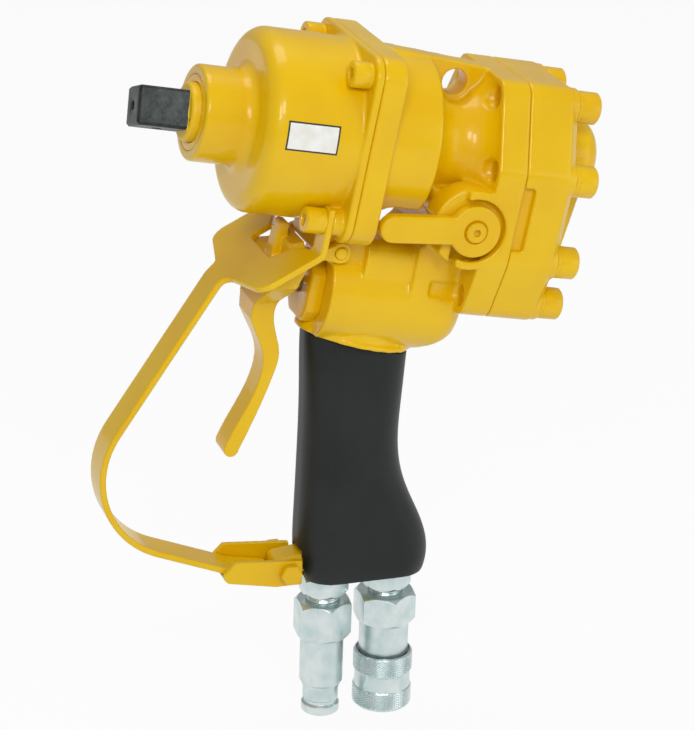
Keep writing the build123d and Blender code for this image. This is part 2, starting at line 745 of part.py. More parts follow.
# Impact mechanism: the frame that the motor turns, two hammers on its pins, and the anvil
collar_start = case_front + case_wall + seat_gap
collar_end = collar_start + 2.2
frame_start = collar_end + side_play
frame_back = parting - frame_plate
hammer_width = (frame_back - frame_start - 2 * frame_plate - 3 * side_play) / 2
front_hammer_start = frame_start + frame_plate + side_play
rear_hammer_start = front_hammer_start + hammer_width + side_play
hammers_end = rear_hammer_start + hammer_width
hub_end = parting - 0.5
pilot_end = frame_back - 1.5
square_end = -shoulder_length - square_length
pin_places = [(0, hammer_pin_circle), (0, -hammer_pin_circle)]

with BuildPart() as anvil:
    with BuildSketch(along_tool) as anvil_profile:
        with BuildLine():
            Polyline((-shoulder_length, 0), (-shoulder_length, journal_radius),
                     (collar_start, journal_radius), (collar_start, anvil_lug_radius),
                     (collar_end, anvil_lug_radius), (collar_end, anvil_core),
                     (hammers_end, anvil_core), (hammers_end, pilot_radius),
                     (pilot_end, pilot_radius), (pilot_end, 0), close=True)
        make_face()
        fillet(anvil_profile.vertices().filter_by(
            lambda v: v.X < -shoulder_length + 0.01 and v.Y > 1), 2)
    revolve(axis=drive_axis)
    with BuildSketch(station(1 - shoulder_length)) as drive_square:
        Rectangle(square, square, rotation=square_roll)
        fillet(drive_square.vertices(), 1.6)
    extrude(amount=square_end - 1 + shoulder_length)
    chamfer(anvil.faces().sort_by(drive_axis)[0].edges(), 1.2)
    # the two jaws that the hammers strike
    with BuildSketch(station(front_hammer_start)):
        Circle(anvil_lug_radius)
        Rectangle(anvil_lug_width, 2 * anvil_lug_radius, mode=Mode.INTERSECT)
    extrude(amount=hammers_end - front_hammer_start)
    # centre hole in the end, and the cross hole for a socket's retaining pin
    rod(square_end - 1, square_end + 7, 2.4, mode=Mode.SUBTRACT)
    with BuildSketch(Plane(origin=at(square_end + square_length / 2, 0), x_dir=forward * -1,
                           z_dir=at(0, cos(radians(square_roll)), -sin(radians(square_roll))) - at(0, 0))):
        Circle(retainer_hole / 2)
    extrude(amount=square, both=True, mode=Mode.SUBTRACT)
finish_piece("anvil", anvil.part)

with BuildPart() as hammer_frame:
    for start in (frame_start, frame_back - frame_plate):
        with BuildSketch(station(start)):
            Circle(frame_radius)
            with Locations(*pin_places):
                Circle(hammer_pin_radius, mode=Mode.SUBTRACT)
        extrude(amount=frame_plate)
    with BuildSketch(station(frame_start)):
        Circle(frame_radius)
        Rectangle(2 * frame_radius, 2 * frame_radius * sin(radians(strut_angle)), mode=Mode.INTERSECT)
        Rectangle(2 * (hammer_half_width + 2.8), 2 * frame_radius, mode=Mode.SUBTRACT)
    extrude(amount=frame_back - frame_start)
    rod(frame_back - 1, hub_end, shaft_radius + 3)
    rod(frame_start - 1, frame_start + frame_plate + 1, anvil_lug_radius + 0.7, mode=Mode.SUBTRACT)
    rod(frame_start, pilot_end + 0.5, pilot_radius + running, mode=Mode.SUBTRACT)
    with BuildSketch(station(pilot_end + 0.4)):
        RegularPolygon(hex_drive / 2, 6, major_radius=False)
    extrude(amount=parting - pilot_end, mode=Mode.SUBTRACT)
finish_piece("hammer_frame", hammer_frame.part)

finish_piece("hammer_pins", group_of([
    bore_to_bore(frame_start, frame_back, hammer_pin_radius, 1.2, y, t) for y, t in pin_places]))


def hammer(start, side):
    """A hammer that swings on one pin and has a notch round the other; a dog strikes the anvil's jaw."""
    notch_half = 2 * hammer_pin_circle * sin(radians(hammer_swing)) + hammer_pin_radius + 0.35
    with BuildPart() as block:
        with BuildSketch(station(start)):
            Circle(frame_radius - 1)
            Rectangle(2 * hammer_half_width, 2 * frame_radius, mode=Mode.INTERSECT)
            Circle(hammer_bore, mode=Mode.SUBTRACT)
            with Locations((0, side * hammer_pin_circle)):
                Circle(hammer_pin_radius + running, mode=Mode.SUBTRACT)
            with Locations((0, -side * (hammer_pin_circle + frame_radius - hammer_pin_radius - 0.4))):
                Rectangle(2 * notch_half, 2 * frame_radius, mode=Mode.SUBTRACT)
        extrude(amount=hammer_width)
        with BuildSketch(station(start)):
            Circle(hammer_bore + 2)
            Circle(dog_reach, mode=Mode.SUBTRACT)
            with Locations(Rot(0, 0, 135 - 90 * side)):
                Rectangle(2 * frame_radius, 8, align=(Align.MIN, Align.CENTER), mode=Mode.INTERSECT)
        extrude(amount=hammer_width)
    return block.part


finish_piece("front_hammer", hammer(front_hammer_start, 1))
finish_piece("rear_hammer", hammer(rear_hammer_start, -1))

with BuildPart() as drive_shaft:
    with BuildSketch(station(pilot_end + 0.8)):
        RegularPolygon(hex_drive / 2, 6, major_radius=False)
    extrude(amount=parting - pilot_end - 0.8)
    rod(hub_end, bush_end - 1.2, shaft_radius)
    chamfer(drive_shaft.edges().filter_by(GeomType.CIRCLE).sort_by(drive_axis)[-1], 1)
    key_bar(0, Mode.SUBTRACT)
finish_piece("drive_shaft", drive_shaft.part)


def race(inner, outer):
    """A ring of the ball bearing with the groove in which its balls run."""
    with BuildPart() as ring:
        with BuildSketch(along_tool):
            with Locations((parting + bearing_width / 2, (inner + outer) / 2)):
                Rectangle(bearing_width, outer - inner)
            with Locations((parting + bearing_width / 2, ball_circle)):
                Circle(ball_radius + running, mode=Mode.SUBTRACT)
        revolve(axis=drive_axis)
    return ring.part


finish_piece("bearing_outer_race", race(ball_circle + race_lip, bearing_outer))
finish_piece("bearing_inner_race", race(shaft_radius, ball_circle - race_lip))
with BuildPart() as bearing_balls:
    with Locations(station(parting + bearing_width / 2)):
        with PolarLocations(ball_circle, ball_count):
            Sphere(ball_radius)
finish_piece("bearing_balls", group_of([bearing_balls.part]))

seal_start = parting + bearing_width
with BuildPart() as shaft_seal:
    with BuildSketch(along_tool):
        with BuildLine():
            Polyline((seal_start, seal_radius), (seal_start + seal_width, seal_radius),
                     (seal_start + seal_width, shaft_radius + 3), (seal_start + 5, shaft_radius + running),
                     (seal_start + 2.5, shaft_radius + running), (seal_start + 2.5, seal_radius - 2.5),
                     (seal_start, seal_radius - 2.5), close=True)
        make_face()
    revolve(axis=drive_axis)
finish_piece("shaft_seal", shaft_seal.part)

# Screws and their lock washers
tab_front = parting - case_flange - lower_boss - strap_thickness
case_screws = []
case_washers = []
for (y, t), seat in zip(case_screw_places, [parting - case_flange] * 2 + [tab_front] * 2):
    case_screws.append(socket_screw(seat - case_washer - case_screw, case_screw,
                                    flange_back - 3 - seat + case_washer, y, t))
    case_washers.append(bore_to_bore(seat - case_washer, seat, 0.8 * case_screw,
                                     case_screw / 2 + loose, y, t))
finish_piece("case_bolts", group_of(case_screws))
finish_piece("case_lock_washers", group_of(case_washers))

cap_head = cap_back + cap_washer
screw_end = block_front + spot_depth + 4
finish_piece("cap_bolts", group_of([
    socket_screw(cap_head + cap_screw, cap_screw, cap_head - screw_end, y, t, -1)
    for y, t in cap_screw_places]))
finish_piece("cap_lock_washers", group_of([
    bore_to_bore(cap_back, cap_head, 0.8 * cap_screw, cap_screw / 2 + loose, y, t)
    for y, t in cap_screw_places]))

# Valve: the plug in the chest's front, the spool with its stem, and its return spring
with BuildPart() as valve_plug:
    with BuildSketch(station(chest_front - plug_length)) as plug_outline:
        with Locations((0, -valve_drop)):
            Rectangle(plug_width, plug_height)
        chamfer(plug_outline.vertices(), 7)
    extrude(amount=plug_length)
    chamfer(valve_plug.faces().sort_by(drive_axis)[0].edges(), 1)
    rod(chest_front, chest_front + plug_depth, plug_thread, t=-valve_drop)
    rod(chest_front - plug_length - 1, chest_front + plug_depth + 1, stem_radius + running, t=-valve_drop,
        mode=Mode.SUBTRACT)
finish_piece("valve_plug", valve_plug.part)

stem_tip = chest_front - plug_length - stem_reach
with BuildPart() as valve_spool:
    rod(stem_tip, spool_start, stem_radius, t=-valve_drop)
    fillet(valve_spool.edges().filter_by(GeomType.CIRCLE).sort_by(drive_axis)[0], stem_radius - 0.5)
    rod(spool_start, spring_start, spool_radius, t=-valve_drop)
    for groove, width in ((9, 9), (26, 5)):
        with BuildSketch(station(spool_start + groove)):
            with Locations((0, -valve_drop)):
                Circle(spool_radius + 1)
                Circle(spool_neck, mode=Mode.SUBTRACT)
        extrude(amount=width, mode=Mode.SUBTRACT)
finish_piece("valve_spool", valve_spool.part)
spool_spring_plane = Plane(origin=at(spring_start, -valve_drop), x_dir=(0, 1, 0), z_dir=forward * -1)
finish_piece("spool_spring", coil_spring(spool_spring_plane, 5.6, 1.2, spring_room, 5))

# Reversing lever on the near side, its spool across the housing, and the plug on the far side
hex_half = 2.0              # half the hexagon in the lever screw
lever_thread = 3.0          # M6
with BuildPart() as reversing_spool:
    crosswise(lever_s, -lever_drop, -lever_face, far_plug_face - far_plug_depth - seat_gap, reverse_radius)
    for start in (-22, -4, 14):
        with BuildSketch(Plane(origin=at(lever_s, -lever_drop, start), x_dir=(1, 0, 0),
                               z_dir=(0, 1, 0))):
            Circle(reverse_radius + 1)
            Circle(reverse_radius - 2, mode=Mode.SUBTRACT)
        extrude(amount=8, mode=Mode.SUBTRACT)
    crosswise(lever_s, -lever_drop, -lever_face - 1, -lever_face + 10, lever_thread, Mode.SUBTRACT)
finish_piece("reversing_spool", reversing_spool.part)

with BuildPart() as reversing_lever:
    with BuildSketch(Plane(origin=at(lever_s, -lever_drop, -lever_outer), x_dir=forward * -1,
                           z_dir=(0, 1, 0))):
        Circle(lever_hub)
        with Locations(Rot(0, 0, 180 - lever_slope)):
            SlotCenterPoint((lever_arm / 2, 0), (lever_arm, 0), 2 * lever_half_width)
    extrude(amount=lever_thickness)
    fillet(reversing_lever.faces().sort_by(Axis.Y)[0].edges(), 1.2)
    crosswise(lever_s, -lever_drop, -lever_outer - 1, -lever_outer + 1.2, 2 * lever_thread, Mode.SUBTRACT)
    crosswise(lever_s, -lever_drop, -lever_outer, -lever_face, lever_thread, Mode.SUBTRACT)
finish_piece("reversing_lever", reversing_lever.part)

with BuildPart() as lever_screw:
    crosswise(lever_s, -lever_drop, -lever_outer - 1.4, -lever_outer + 1.2, 2 * lever_thread - 0.8)
    fillet(lever_screw.edges().filter_by(GeomType.CIRCLE).sort_by(Axis.Y)[0], 1.1)
    crosswise(lever_s, -lever_drop, -lever_outer + 1.2, -lever_face + 9, lever_thread)
    with BuildSketch(Plane(origin=at(lever_s, -lever_drop, -lever_outer - 2), x_dir=(1, 0, 0),
                           z_dir=(0, 1, 0))):
        RegularPolygon(hex_half, 6)
    extrude(amount=2.8, mode=Mode.SUBTRACT)
finish_piece("lever_screw", lever_screw.part)

with BuildPart() as reversing_plug:
    crosswise(lever_s, -lever_drop, far_plug_face - far_plug_depth, far_plug_face, far_plug_radius)
    with BuildSketch(Plane(origin=at(lever_s, -lever_drop, far_plug_face), x_dir=(1, 0, 0),
                           z_dir=(0, 1, 0))):
        RegularPolygon(far_plug_radius, 6, major_radius=False)
    extrude(amount=5)
    chamfer(reversing_plug.faces().sort_by(Axis.Y)[-1].edges(), 0.8)
finish_piece("reversing_plug", reversing_plug.part)

# Grip sleeve, with a notch at its front for the guard's lug
with BuildPart() as grip_sleeve:
    add(grip_body(0))
    add(grip_core, mode=Mode.SUBTRACT)
    with BuildSketch(Plane.XZ):
        with Locations((grip_front, grip_bottom)):
            Rectangle(24, 2 * (lug_top_z + 4 - grip_bottom))
    extrude(amount=lug_width / 2 + loose, both=True, mode=Mode.SUBTRACT)
finish_piece("grip_sleeve", grip_sleeve.part)

# Trigger: a curved finger blade under a head that two ears hang on the pivot pin
pivot = at(pivot_s, -pivot_drop)
with BuildPart() as trigger:
    with BuildSketch(Plane.XZ):
        with BuildLine():
            Spline((-79, 226), (-75, 216), (-71.5, 205), (-73.5, 191), (-80, 177), (-90.5, 157.5))
            ThreePointArc((-90.5, 157.5), (-88.2, 152.3), (-83.2, 155.2))
            Spline((-83.2, 155.2), (-77.5, 167), (-65.5, 195), (-63, 205), (-65.5, 218), (-61.2, 240))
            Polyline((-61.2, 240), (-57, 251), (-58, 256), (-66, 256), (-70, 253), (-78, 234), (-79, 226))
        make_face()
    extrude(amount=ear_gap + ear_thickness, both=True)
    # seen from the front, the blade is narrow and the head as wide as the ears
    with BuildSketch(Plane.YZ) as front_view:
        with BuildLine():
            Polyline((0, 140), (blade_half_width, 140), (blade_half_width, 214),
                     (12, 234), (ear_gap + ear_thickness, 245), (ear_gap + ear_thickness, 262),
                     (0, 262))
            mirror(about=Plane.YZ)
        make_face()
        fillet(front_view.vertices().filter_by(lambda v: 213 < v.Y < 235), 8)
    extrude(amount=120, both=True, mode=Mode.INTERSECT)
    # tongue that stands up through the notch of the guard
    with BuildSketch(Plane.XZ):
        with BuildLine():
            Polyline((-69, 252), (-62.6, 273), (-58, 272), (-62, 250), close=True)
        make_face()
        fillet(vertices().sort_by(Axis.Y)[-2:], 1.5)
    extrude(amount=5, both=True)
    # web between the ears, behind the tongue
    with BuildSketch(Plane.XZ):
        with BuildLine():
            Polyline((-63, 251), (-61.5, 265), (-54, 265.5), (-52.5, 258), (-58, 249), close=True)
        make_face()
    extrude(amount=fork_notch - 2.5, both=True)
    for side in (-1, 1):
        with BuildSketch(Plane.XZ.offset(-side * (ear_gap + ear_thickness / 2))):
            with BuildLine():
                Polyline((-66, 246), (-57.5, 249), (-52, 258.5), (-45, 257.8), (pivot.X - 1, pivot.Z - ear_radius),
                         (pivot.X, pivot.Z + ear_radius), (-52, 261.5), (-60, 256), (-66, 254), close=True)
            make_face()
            with Locations((pivot.X, pivot.Z)):
                Circle(ear_radius)
        extrude(amount=ear_thickness / 2, both=True)
    with BuildSketch(Plane.XZ):
        with Locations((pivot.X, pivot.Z)):
            Circle(pivot_radius + running)
    extrude(amount=2 * ear_gap, both=True, mode=Mode.SUBTRACT)
finish_piece("trigger", trigger.part)

with BuildPart() as trigger_pin:
    crosswise(pivot_s, -pivot_drop, -ear_gap - ear_thickness - 1.3, ear_gap + ear_thickness + 1.3,
              pivot_radius)
    chamfer(trigger_pin.edges().filter_by(GeomType.CIRCLE), 0.5)
finish_piece("trigger_pin", trigger_pin.part)


def bent_line(points, radii):
    """Straight lines between the points, with an arc of the given radius at each inner one."""
    start = Vector(*points[0])
    for before, corner, after, radius in zip(points, points[1:], points[2:], radii):
        corner = Vector(*corner)
        back = (Vector(*before) - corner).normalized()
        on = (Vector(*after) - corner).normalized()
        half = radians(back.get_angle(on)) / 2
        reach = radius / tan(half)
        middle = corner + (back + on).normalized() * (radius / sin(half) - radius)
        Line(start, corner + back * reach)
        ThreePointArc(corner + back * reach, middle, corner + on * reach)
        start = corner + on * reach
    Line(start, Vector(*points[-1]))


# Guard: one bent strap that starts in the bracket, runs round the fingers and forks to the case bolts
tab_middle = tab_front + strap_thickness / 2
tab_top = at(tab_middle, -bolt_offset + 7.5)
tab_root = at(tab_middle, -52.7)
plate_front = Vector(-94.4, 245.8)
knee = Vector(-176.5, 124.0)
strap_end = lug_tip_x - 1
strap_floor = grip_bottom + 1 + bracket_wall + strap_thickness / 2 * sqrt(1 + bracket_rise ** 2)
strap_entry = strap_end - 20
plate_line = Vector(tab_root.X, tab_root.Z) - plate_front
plate_slope = plate_line.normalized()
plate_end = plate_line.length
with BuildPart() as trigger_guard:
    with BuildSketch(Plane.XZ):
        with BuildLine():
            bent_line([(tab_top.X, tab_top.Z), (tab_root.X, tab_root.Z), (plate_front.X, plate_front.Y),
                       (knee.X, knee.Y),
                       (strap_entry, strap_floor + bracket_rise * (strap_end - strap_entry)),
                       (strap_end, strap_floor)],
                      [5, 12, strap_bend - strap_thickness / 2, 8])
        trace(line_width=strap_thickness)
    extrude(amount=fork_half_width, both=True)
    with BuildSketch(Plane(origin=(plate_front.X, 0, plate_front.Y), x_dir=(plate_slope.X, 0, plate_slope.Y),
                           z_dir=(-plate_slope.Y, 0, plate_slope.X))) as guard_plan:
        with BuildLine():
            Polyline((-160, 0), (-160, strap_width / 2), (plate_end - 42, strap_width / 2),
                     (plate_end - 34, fork_half_width), (2 * plate_end, fork_half_width),
                     (2 * plate_end, bolt_offset - 6.5), (plate_end - 2, bolt_offset - 6.5),
                     (plate_end - 8, fork_notch), (plate_end - 20, fork_notch), (plate_end - 20, 0))
            mirror(about=Plane.XZ)
        make_face()
        fillet(guard_plan.vertices().filter_by(lambda v: abs(v.X - plate_end + 42) < 0.1), 6)
        fillet(guard_plan.vertices().filter_by(lambda v: abs(v.X - plate_end + 34) < 0.1), 10)
        fillet(guard_plan.vertices().filter_by(lambda v: abs(v.X - plate_end + 20) < 0.1 and abs(v.Y) > 1), 5)
    extrude(amount=200, both=True, mode=Mode.INTERSECT)
    for y, t in case_screw_places[2:]:
        rod(tab_front - 2, tab_front + strap_thickness + 1, case_screw / 2 + loose, y, t, Mode.SUBTRACT)
    rod(tab_front - 2, tab_front + strap_thickness + 2, case_radius + seat_gap, mode=Mode.SUBTRACT)
finish_piece("trigger_guard", trigger_guard.part)

# Channel that holds the guard's lower end, and its cross bolt with nut
bracket_back = grip_front - 0.5
bracket_inner = strap_width / 2 + 0.4
bracket_outer = bracket_inner + bracket_wall
bracket_front = bracket_back - bracket_length
bracket_lift = bracket_rise * (strap_end - bracket_front)
with BuildPart() as guard_bracket:
    with BuildSketch(Plane.XZ):
        with BuildLine():
            Polyline((bracket_back, grip_bottom + 1), (strap_end, grip_bottom + 1),
                     (bracket_front + 2, grip_bottom + 1 + bracket_lift),
                     (bracket_front, grip_bottom + 3 + bracket_lift),
                     (bracket_front, grip_bottom + bracket_height - 4),
                     (bracket_front + 6, grip_bottom + 2 + bracket_height),
                     (bracket_back, grip_bottom - 1 + bracket_height), close=True)
        make_face()
    extrude(amount=bracket_outer, both=True)
    with BuildSketch(Plane.XZ):
        with BuildLine():
            Polyline((bracket_back + 1, grip_bottom + 1 + bracket_wall), (strap_end, grip_bottom + 1 + bracket_wall),
                     (bracket_front - 1, grip_bottom + 1 + bracket_wall + bracket_lift + bracket_rise),
                     (bracket_front - 1, grip_bottom + 2 * bracket_height),
                     (bracket_back + 1, grip_bottom + 2 * bracket_height), close=True)
        make_face()
    extrude(amount=bracket_inner, both=True, mode=Mode.SUBTRACT)
    with BuildSketch(Plane.XZ):
        with Locations((bracket_bolt_x, bracket_bolt_z)):
            Circle(bracket_bolt / 2 + loose)
    extrude(amount=2 * bracket_outer, both=True, mode=Mode.SUBTRACT)
finish_piece("guard_bracket", guard_bracket.part)


def bolt_plane(y):
    """A plane across the guard's bolt; its normal is +Y."""
    return Plane(origin=(bracket_bolt_x, y, bracket_bolt_z), x_dir=(1, 0, 0), z_dir=(0, 1, 0))


with BuildPart() as guard_bolt:
    with BuildSketch(bolt_plane(-bracket_outer - 4)):
        RegularPolygon(5, 6, major_radius=False)
    extrude(amount=4)
    chamfer(guard_bolt.faces().sort_by(Axis.Y)[0].edges(), 0.5)
    with BuildSketch(bolt_plane(-bracket_outer)):
        Circle(bracket_bolt / 2)
    extrude(amount=2 * bracket_outer + 6)
finish_piece("guard_bolt", guard_bolt.part)
with BuildPart() as guard_nut:
    with BuildSketch(bolt_plane(bracket_outer)):
        RegularPolygon(5, 6, major_radius=False)
        Circle(bracket_bolt / 2, mode=Mode.SUBTRACT)
    extrude(amount=5)
    chamfer(guard_nut.faces().sort_by(Axis.Y)[-1].edges().filter_by(GeomType.LINE), 0.5)
finish_piece("guard_nut", guard_nut.part)

# Adapters between the ports and the couplings
adapter_low = grip_bottom - adapter_hex_height
pipe_thread = 8.3           # radius of the adapters' lower threads
thread_end = coupler_height - 14


def hexagon_bar(low, high, across, x=0, bevel=2.6):
    """A vertical hexagonal bar whose corners are turned down at both ends."""
    with BuildSketch(Plane.XY.offset(low)) as hexagon:
        with Locations((x, 0)):
            RegularPolygon(across / 2, 6, major_radius=False, rotation=30)
    extrude(hexagon.sketch, amount=high - low)
    corner = across / 2 / cos(radians(30))
    with BuildSketch(Plane.XZ) as corner_cut:
        with BuildLine():
            Polyline((x + across / 2, low - 0.01), (x + corner + 1, low - 0.01),
                     (x + corner + 1, low + bevel + 0.6), close=True)
        make_face()
        with BuildLine():
            Polyline((x + across / 2, high + 0.01), (x + corner + 1, high + 0.01),
                     (x + corner + 1, high - bevel - 0.6), close=True)
        make_face()
    revolve(corner_cut.sketch, axis=Axis((x, 0, 0), (0, 0, 1)), mode=Mode.SUBTRACT)


def adapter(x):
    """A double male adapter with a hexagon."""
    with BuildPart() as fitting:
        hexagon_bar(adapter_low, grip_bottom, adapter_hex, x)
        upright(x, grip_bottom, grip_bottom + port_depth - 1, adapter_thread)
        upright(x, thread_end + 1, adapter_low, pipe_thread)
        chamfer(fitting.edges().filter_by(GeomType.CIRCLE).sort_by(Axis.Z)[0], 1)
        upright(x, thread_end, grip_bottom + port_depth, 4.5, Mode.SUBTRACT)
    return fitting.part


finish_piece("hose_adapters", group_of([adapter(x) for x in (nipple_x, 0)]))


def valve_guide(x, low, radius, stem):
    """A disc with four flow holes that carries a valve's stem."""
    with BuildPart() as guide:
        upright(x, low, low + 3, radius)
        upright(x, low - 1, low + 4, stem, Mode.SUBTRACT)
        with BuildSketch(Plane.XY.offset(low)):
            with Locations((x, 0)):
                with PolarLocations((radius + stem) / 2, 4):
                    Circle((radius - stem) / 2 - 0.9)
        extrude(amount=3, mode=Mode.SUBTRACT)
    return guide.part


def upright_spring(x, low, high, radius, wire, turns):
    """A coil spring that stands between two heights."""
    return coil_spring(Plane(origin=(x, 0, low)), radius, wire, high - low, turns)


# Male half of the coupling, at the front
nipple_wide = 7.6           # bore behind the flat valve face
face_radius = 5.6           # flat valve face
guide_low = 34.0
shoulder_low = 16.0
with BuildPart() as nipple_body:
    add(turned([(face_radius + running, 0), (nipple_tip - 0.6, 0), (nipple_tip, 0.6), (nipple_tip, 4.6),
                (nipple_groove, 5.6), (nipple_groove, 7.2), (nipple_neck, 7.9), (nipple_neck, shoulder_low - 1),
                (nipple_tip, shoulder_low - 1), (nipple_tip, shoulder_low), (nipple_barrel, shoulder_low + 2),
                (nipple_barrel, nipple_height - 18), (nipple_wide, nipple_height - 18),
                (nipple_wide, 7.5), (face_radius + running, 7.5)], nipple_x))
    hexagon_bar(nipple_height - 20, nipple_height, nipple_hex, nipple_x)
    upright(nipple_x, nipple_height - 21, thread_end, nipple_wide, Mode.SUBTRACT)
    upright(nipple_x, thread_end, nipple_height + 1, pipe_thread, Mode.SUBTRACT)
finish_piece("nipple_body", nipple_body.part)
finish_piece("nipple_guide", valve_guide(nipple_x, guide_low, nipple_wide, 3 + running))
finish_piece("nipple_poppet", turned([(0, 0.4), (face_radius, 0.4), (face_radius, 7.8), (7.0, 7.8), (7.0, 9.5),
                                      (3.0, 9.5), (3.0, guide_low + 3.2), (0, guide_low + 3.2)], nipple_x))
finish_piece("nipple_spring", upright_spring(nipple_x, 9.5, guide_low, 5.4, 1.2, 7))

# Female half of the coupling, at the rear
body_radius = 12.9
ball_height = 6.0
ball_place = body_radius - lock_ball_radius
spring_low = 13.0
ring_low = 29.0
inner_sleeve = 9.6          # radius of the sliding seal sleeve
stem_guide_low = 44.0
coupler_hex_low = 48.5
with BuildPart() as coupler_body:
    add(turned([(mouth_radius, 0), (body_radius - 0.4, 0), (body_radius, 0.4), (body_radius, spring_low - 0.2),
                (11.4, spring_low - 0.2), (11.4, ring_low), (10.9, ring_low), (10.9, ring_low + 1.2),
                (11.4, ring_low + 1.2), (11.4, ring_low + 1.6), (body_radius, ring_low + 1.6),
                (body_radius, coupler_hex_low + 2), (8, coupler_hex_low + 2), (8, stem_guide_low + 3),
                (inner_sleeve + running, stem_guide_low + 3), (inner_sleeve + running, 14),
                (mouth_radius, 13.4)], 0))
    hexagon_bar(coupler_hex_low, coupler_height, coupler_hex)
    upright(0, coupler_hex_low - 1, thread_end, 8, Mode.SUBTRACT)
    upright(0, thread_end, coupler_height + 1, pipe_thread, Mode.SUBTRACT)
    for turn in range(lock_balls):
        angle = 2 * pi * turn / lock_balls
        with BuildSketch(Plane(origin=(0, 0, ball_height), x_dir=(0, 0, 1),
                               z_dir=(cos(angle), sin(angle), 0))):
            Circle(lock_ball_radius + running)
        extrude(amount=2 * body_radius, mode=Mode.SUBTRACT)
finish_piece("coupler_body", coupler_body.part)

with BuildPart() as locking_balls:
    with Locations((0, 0, ball_height)):
        with PolarLocations(ball_place - running, lock_balls):
            Sphere(lock_ball_radius)
finish_piece("locking_balls", group_of([locking_balls.part]))

band_low = 11.0
band_high = 19.5
sleeve_bore = body_radius + running
finish_piece("coupler_sleeve", turned([
    (sleeve_bore + 1, 0), (coupler_sleeve_radius - 1, 0), (coupler_sleeve_radius, 1),
    (coupler_sleeve_radius, band_low - 0.6), (coupler_sleeve_radius - 0.6, band_low),
    (coupler_sleeve_radius - 0.6, band_high), (coupler_sleeve_radius, band_high + 0.6),
    (coupler_sleeve_radius, coupler_sleeve_height - 0.8),
    (coupler_sleeve_radius - 0.8, coupler_sleeve_height), (14.0, coupler_sleeve_height),
    (14.0, spring_low), (sleeve_bore, spring_low), (sleeve_bore, 2.6), (sleeve_bore + 1, 2)], 0))
finish_piece("coupler_sleeve_spring", upright_spring(0, spring_low, ring_low, 12.7, 1.1, 5))
finish_piece("coupler_retaining_ring", turned([(10.9, ring_low), (13.8, ring_low), (13.8, ring_low + 1.2),
                                               (10.9, ring_low + 1.2)], 0))
with BuildPart() as coupler_stem:
    add(turned([(0, face_depth), (face_radius, face_depth), (face_radius, face_depth + 6), (3, face_depth + 6),
                (3, stem_guide_low + 3), (0, stem_guide_low + 3)], 0))
    add(valve_guide(0, stem_guide_low, inner_sleeve, 3))
finish_piece("coupler_stem", coupler_stem.part)
finish_piece("coupler_seal_sleeve", turned([
    (face_radius + running, face_depth), (inner_sleeve, face_depth), (inner_sleeve, 22), (7.0, 22),
    (7.0, face_depth + 7), (face_radius + running, face_depth + 6)], 0))
finish_piece("coupler_valve_spring", upright_spring(0, 22, stem_guide_low, 8.0, 1.4, 6))
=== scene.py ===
"""Looks of the hydraulic impact wrench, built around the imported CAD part."""
import json
import math

import bpy
from mathutils import Matrix, Vector


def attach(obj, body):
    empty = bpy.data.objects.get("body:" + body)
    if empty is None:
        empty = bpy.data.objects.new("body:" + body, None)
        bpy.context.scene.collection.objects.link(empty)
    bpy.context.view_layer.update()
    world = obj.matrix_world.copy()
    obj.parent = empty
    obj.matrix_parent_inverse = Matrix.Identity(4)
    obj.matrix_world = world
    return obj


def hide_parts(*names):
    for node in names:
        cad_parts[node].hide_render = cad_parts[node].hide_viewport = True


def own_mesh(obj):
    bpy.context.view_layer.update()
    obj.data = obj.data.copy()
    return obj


MM = 0.001

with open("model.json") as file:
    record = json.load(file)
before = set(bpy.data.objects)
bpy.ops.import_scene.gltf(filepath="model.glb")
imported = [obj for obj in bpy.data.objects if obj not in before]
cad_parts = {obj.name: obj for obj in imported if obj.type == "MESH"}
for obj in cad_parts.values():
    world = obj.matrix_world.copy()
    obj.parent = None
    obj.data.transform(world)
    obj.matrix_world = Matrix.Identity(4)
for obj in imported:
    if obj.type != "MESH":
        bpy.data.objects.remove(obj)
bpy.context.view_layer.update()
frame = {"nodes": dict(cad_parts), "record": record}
nodes = frame["nodes"]

# Where the drive axis runs, as in the part
RAKE = math.radians(10.3)
BACKWARDS = Vector((math.cos(RAKE), 0, -math.sin(RAKE)))
UPWARDS = Vector((math.sin(RAKE), 0, math.cos(RAKE)))
NOSE = Vector((-108.8 * MM * math.cos(RAKE), 0, 310.5 * MM + 108.8 * MM * math.sin(RAKE)))


def at(s, t, y=0.0):
    """The point at a station behind the nose rim, a height over the drive axis and a place across, in mm."""
    return NOSE + (BACKWARDS * s + UPWARDS * t + Vector((0, 1, 0)) * y) * MM

# Sizes of the trim that is made here, in mm
CAP_BACK = 185.0            # station of the cap's rear face
DOME_RADIUS = 19.0
DOME_TAPER = 5.0            # by how much the dome is narrower at its end
DOME_LENGTH = 24.0
DOME_SINK = 4.0             # how deep the dome's run starts inside the cap
DOME_FALL = 0.12            # how much lower the dome gets for each millimetre down
DOME_DROPS = range(6, 43, 4)  # how far below the drive axis each round of the run lies
SLEEVE_RADIUS = 15.2
KNURL_PITCH = 1.3
KNURL_HEIGHT = 0.3
KNURL_AROUND = 72           # places round the sleeve, every second one a diamond
KNURL_BANDS = {"sleeve_knurl_low": (1.0, 10.4), "sleeve_knurl_high": (20.1, 30.2)}
THREAD_RADIUS = 8.25
THREAD_RIDGE = 0.55
THREAD_PITCH = 1.3
THREAD_LOW = 64.2
THREAD_TURNS = 4
ADAPTER_THREADS = {"adapter_thread_front": -34.0, "adapter_thread_rear": 0.0}
PLATE_STATION = 46.5        # middle of the blank plate on the case
PLATE_TURN = 83.0           # degrees round from the top of the case
PLATE_LENGTH = 26.0
PLATE_HEIGHT = 14.0
PLATE_RADIUS = 45.12
PLATE_EDGE = 0.8            # width of the plate's black edge


# Materials

